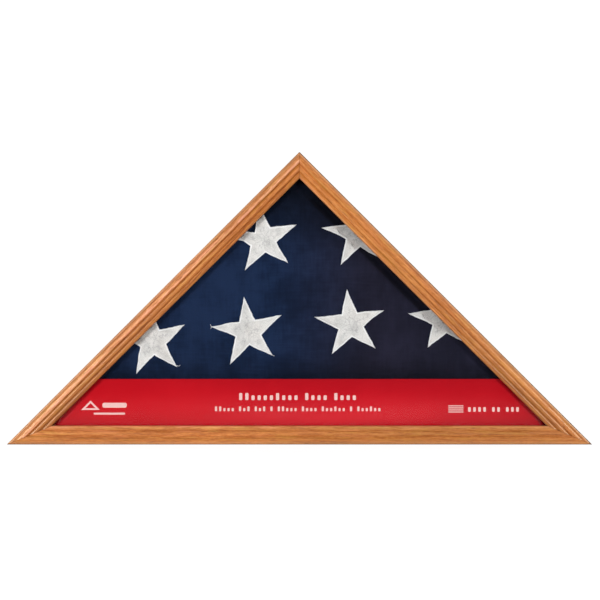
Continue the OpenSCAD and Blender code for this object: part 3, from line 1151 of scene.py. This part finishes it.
def add_slab(bm, ring):
    """A thin slab of ink on the front of the card."""
    back = [bm.verts.new((x, CARD_FRONT_Y, z)) for x, z in ring]
    front = [bm.verts.new((x, CARD_FRONT_Y - PRINT_T, z)) for x, z in ring]
    bm.faces.new(front)
    bm.faces.new(back[::-1])
    for i in range(len(ring)):
        k = (i + 1) % len(ring)
        bm.faces.new((front[i], back[i], back[k], front[k]))


def add_words(bm, start_x, base_z, pitch, heights, words):
    """A line of small plain blocks, a run of them for each word of a line of print."""
    low, tall = heights
    x = start_x
    for word in words:
        for i in range(word):
            stands_tall = i == 0 or (i * 7 + word) % 5 == 2
            top = base_z + (tall if stands_tall else low)
            add_bar(bm, x, x + BLOCK_W * pitch, base_z, top, BLOCK_R * pitch)
            x += pitch
        x += WORD_GAP * pitch


def add_fold_icon(bm, corner_x, base_z, size):
    """A plain triangle with a smaller one cut from it, like a folded flag seen from the front."""
    outer = [(corner_x, base_z), (corner_x + size, base_z), (corner_x + size / 2, base_z + size / 2)]
    middle = Vector((corner_x + size / 2, base_z + size / 2 * (ROOT2 - 1)))
    inner = [tuple(middle + (Vector(spot) - middle) * 0.55) for spot in outer]
    for i in range(3):
        k = (i + 1) % 3
        add_slab(bm, [outer[i], outer[k], inner[k], inner[i]])


def print_card():
    """Generic marks where a card's print would be: rows of blocks, a triangle and a striped tag."""
    bm = bmesh.new()
    add_words(bm, -68.3 * MM, 49.6 * MM, 6.95 * MM, (5.4 * MM, 8.0 * MM), [10, 4, 4])
    add_words(bm, -95.7 * MM, 37.0 * MM, 4.74 * MM, (3.6 * MM, 5.4 * MM), [5, 3, 3, 1, 5, 4, 6, 1, 6])
    add_words(bm, 190.9 * MM, 36.4 * MM, 5.72 * MM, (5.2 * MM, 5.2 * MM), [4, 2, 3])
    add_fold_icon(bm, -247 * MM, 38.5 * MM, 21 * MM)
    add_bar(bm, -223 * MM, -195.5 * MM, 41.0 * MM, 46.6 * MM, 2 * MM)
    add_bar(bm, -233 * MM, -197.5 * MM, 33.2 * MM, 35.4 * MM, 0.9 * MM)
    for i in range(4):
        add_bar(bm, 168.5 * MM, 185.5 * MM, (35.6 + 2.3 * i) * MM, (36.7 + 2.3 * i) * MM, 0.2 * MM)
    marks = new_object("card_print", bm, ink("card_ink", (0.52, 0.25, 0.24), (0.62, 0.41, 0.39)))
    marks.data.shade_flat()
    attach(marks, "case")


# ---- stage, camera and lights ----

CAMERA_AWAY = 2.0
VIEW_W = 0.6752
VIEW_CENTRE = Vector((0.0006, FRONT_Y, 0.1629))
SENSOR_W = 36.0
PAPER_GLOW = 0.80  # light that comes through the back-lit paper
WORLD_GLOW = 0.34


def build_sheet(name, profile, half_width, lift, material):
    """A studio sheet swept along X from a profile of (y, z) points."""
    bm = bmesh.new()
    left = [bm.verts.new((-half_width, y, z + lift)) for y, z in profile]
    right = [bm.verts.new((half_width, y, z + lift)) for y, z in profile]
    for i in range(len(profile) - 1):
        bm.faces.new((left[i], right[i], right[i + 1], left[i + 1]))
    sheet = new_object(name, bm, material)
    return sheet


def build_stage():
    """A pale floor that sweeps up into a wall behind the case, and one for the back views."""
    s = Shader("studio_paper")
    tint = s.noise(s.place, 3.0)
    white = s.ramp(tint, [(0.3, (0.31, 0.31, 0.31)), (0.7, (0.33, 0.33, 0.33))])
    glow = (1, 1, 1, 1)
    s.finish(Base_Color=white, Roughness=0.9, Emission_Color=glow, Emission_Strength=PAPER_GLOW)
    half_width = 9.0
    front = -5.0
    wall_y = 4.2
    bend = 1.2
    wall_top = 5.0
    swept = []
    for i in range(17):
        angle = math.pi / 2 * i / 16
        swept.append((bend * math.sin(angle), bend - bend * math.cos(angle)))
    back = [(wall_y - bend + out, up) for out, up in swept] + [(wall_y, wall_top)]
    build_sheet("studio_sweep", [(front, 0.0)] + back, half_width, -0.02 * MM, s.material)
    ahead = [(front - out, up) for out, up in swept] + [(front - bend, wall_top)]
    far_wall = build_sheet("studio_far_wall", ahead, half_width, -0.02 * MM, s.material)
    far_wall.visible_diffuse = False
    far_wall.visible_glossy = False


def build_dark_card():
    """Black cloth behind the camera and on the floor before it, which only reflections see."""
    s = Shader("black_cloth")
    nap = s.noise(s.place, 400.0)
    black = s.ramp(nap, [(0.3, (0.002, 0.002, 0.002)), (0.7, (0.004, 0.004, 0.004))])
    cloth = s.node("ShaderNodeBsdfDiffuse", {"Color": black})
    clear = s.node("ShaderNodeBsdfTransparent", {})
    forward = s.dot(s.place, (0, -1, 0))
    cover = s.ranged(forward, 0.20 - FRONT_Y, 1.15 - FRONT_Y)
    painted_light_on_card = s.node("ShaderNodeMixShader", {0: cover, 1: clear.outputs[0], 2: cloth.outputs[0]})
    s.links.new(painted_light_on_card.outputs[0], s.output.inputs["Surface"])
    half_width = 1.6
    near_y = FRONT_Y - 0.18
    far_y = FRONT_Y - CAMERA_AWAY - 0.7
    profile = [(near_y, 1 * MM), (far_y, 1 * MM), (far_y, 2.2)]
    card = build_sheet("studio_dark_card", profile, half_width, 0.0, s.material)
    for ray in ("camera", "diffuse", "shadow", "transmission"):
        setattr(card, f"visible_{ray}", False)


def add_light(name, place, target, size, power):
    """A soft white lamp of the given size in metres and power in watts, aimed at a target."""
    lamp = bpy.data.lights.new(name, "AREA")
    lamp.shape = "RECTANGLE"
    lamp.size, lamp.size_y = size
    lamp.energy = power
    made = placed(name, lamp)
    made.location = place
    made.rotation_euler = (Vector(target) - Vector(place)).to_track_quat("-Z", "Y").to_euler()


def light_case():
    """Even white light all round, and four lamps."""
    world = bpy.data.worlds.new("studio")
    world.use_nodes = True
    background = world.node_tree.nodes["Background"]
    background.inputs["Color"].default_value = (1, 1, 1, 1)
    background.inputs["Strength"].default_value = WORLD_GLOW
    bpy.context.scene.world = world
    add_light("left", (-1.55, -2.2, 0.5), (0, 0, 0.12), (0.8, 0.8), 47)
    add_light("right", (1.60, -2.2, 0.5), (0, 0, 0.15), (0.8, 0.8), 46)
    add_light("top", (0, 1.7, 2.6), (0, 1.2, 0), (3.0, 1.6), 14)
    add_light("wall", (0, 2.2, 2.6), (0, 4.2, 0.8), (5.0, 1.0), 8)


def build_camera():
    """The photo's view: square on to the front of the case."""
    lens = bpy.data.cameras.new("front_view")
    lens.sensor_width = SENSOR_W
    lens.lens = SENSOR_W * CAMERA_AWAY / VIEW_W
    camera = placed("front_view", lens)
    camera.location = VIEW_CENTRE + Vector((0, -CAMERA_AWAY, 0))
    camera.rotation_euler = (math.pi / 2, 0, 0)
    bpy.context.scene.camera = camera
    bpy.context.scene.view_settings.view_transform = "Standard"


dress_all()
dress_flag()
add_fillers()
print_card()
build_stage()
build_dark_card()
light_case()
build_camera()

bpy.context.view_layer.update()
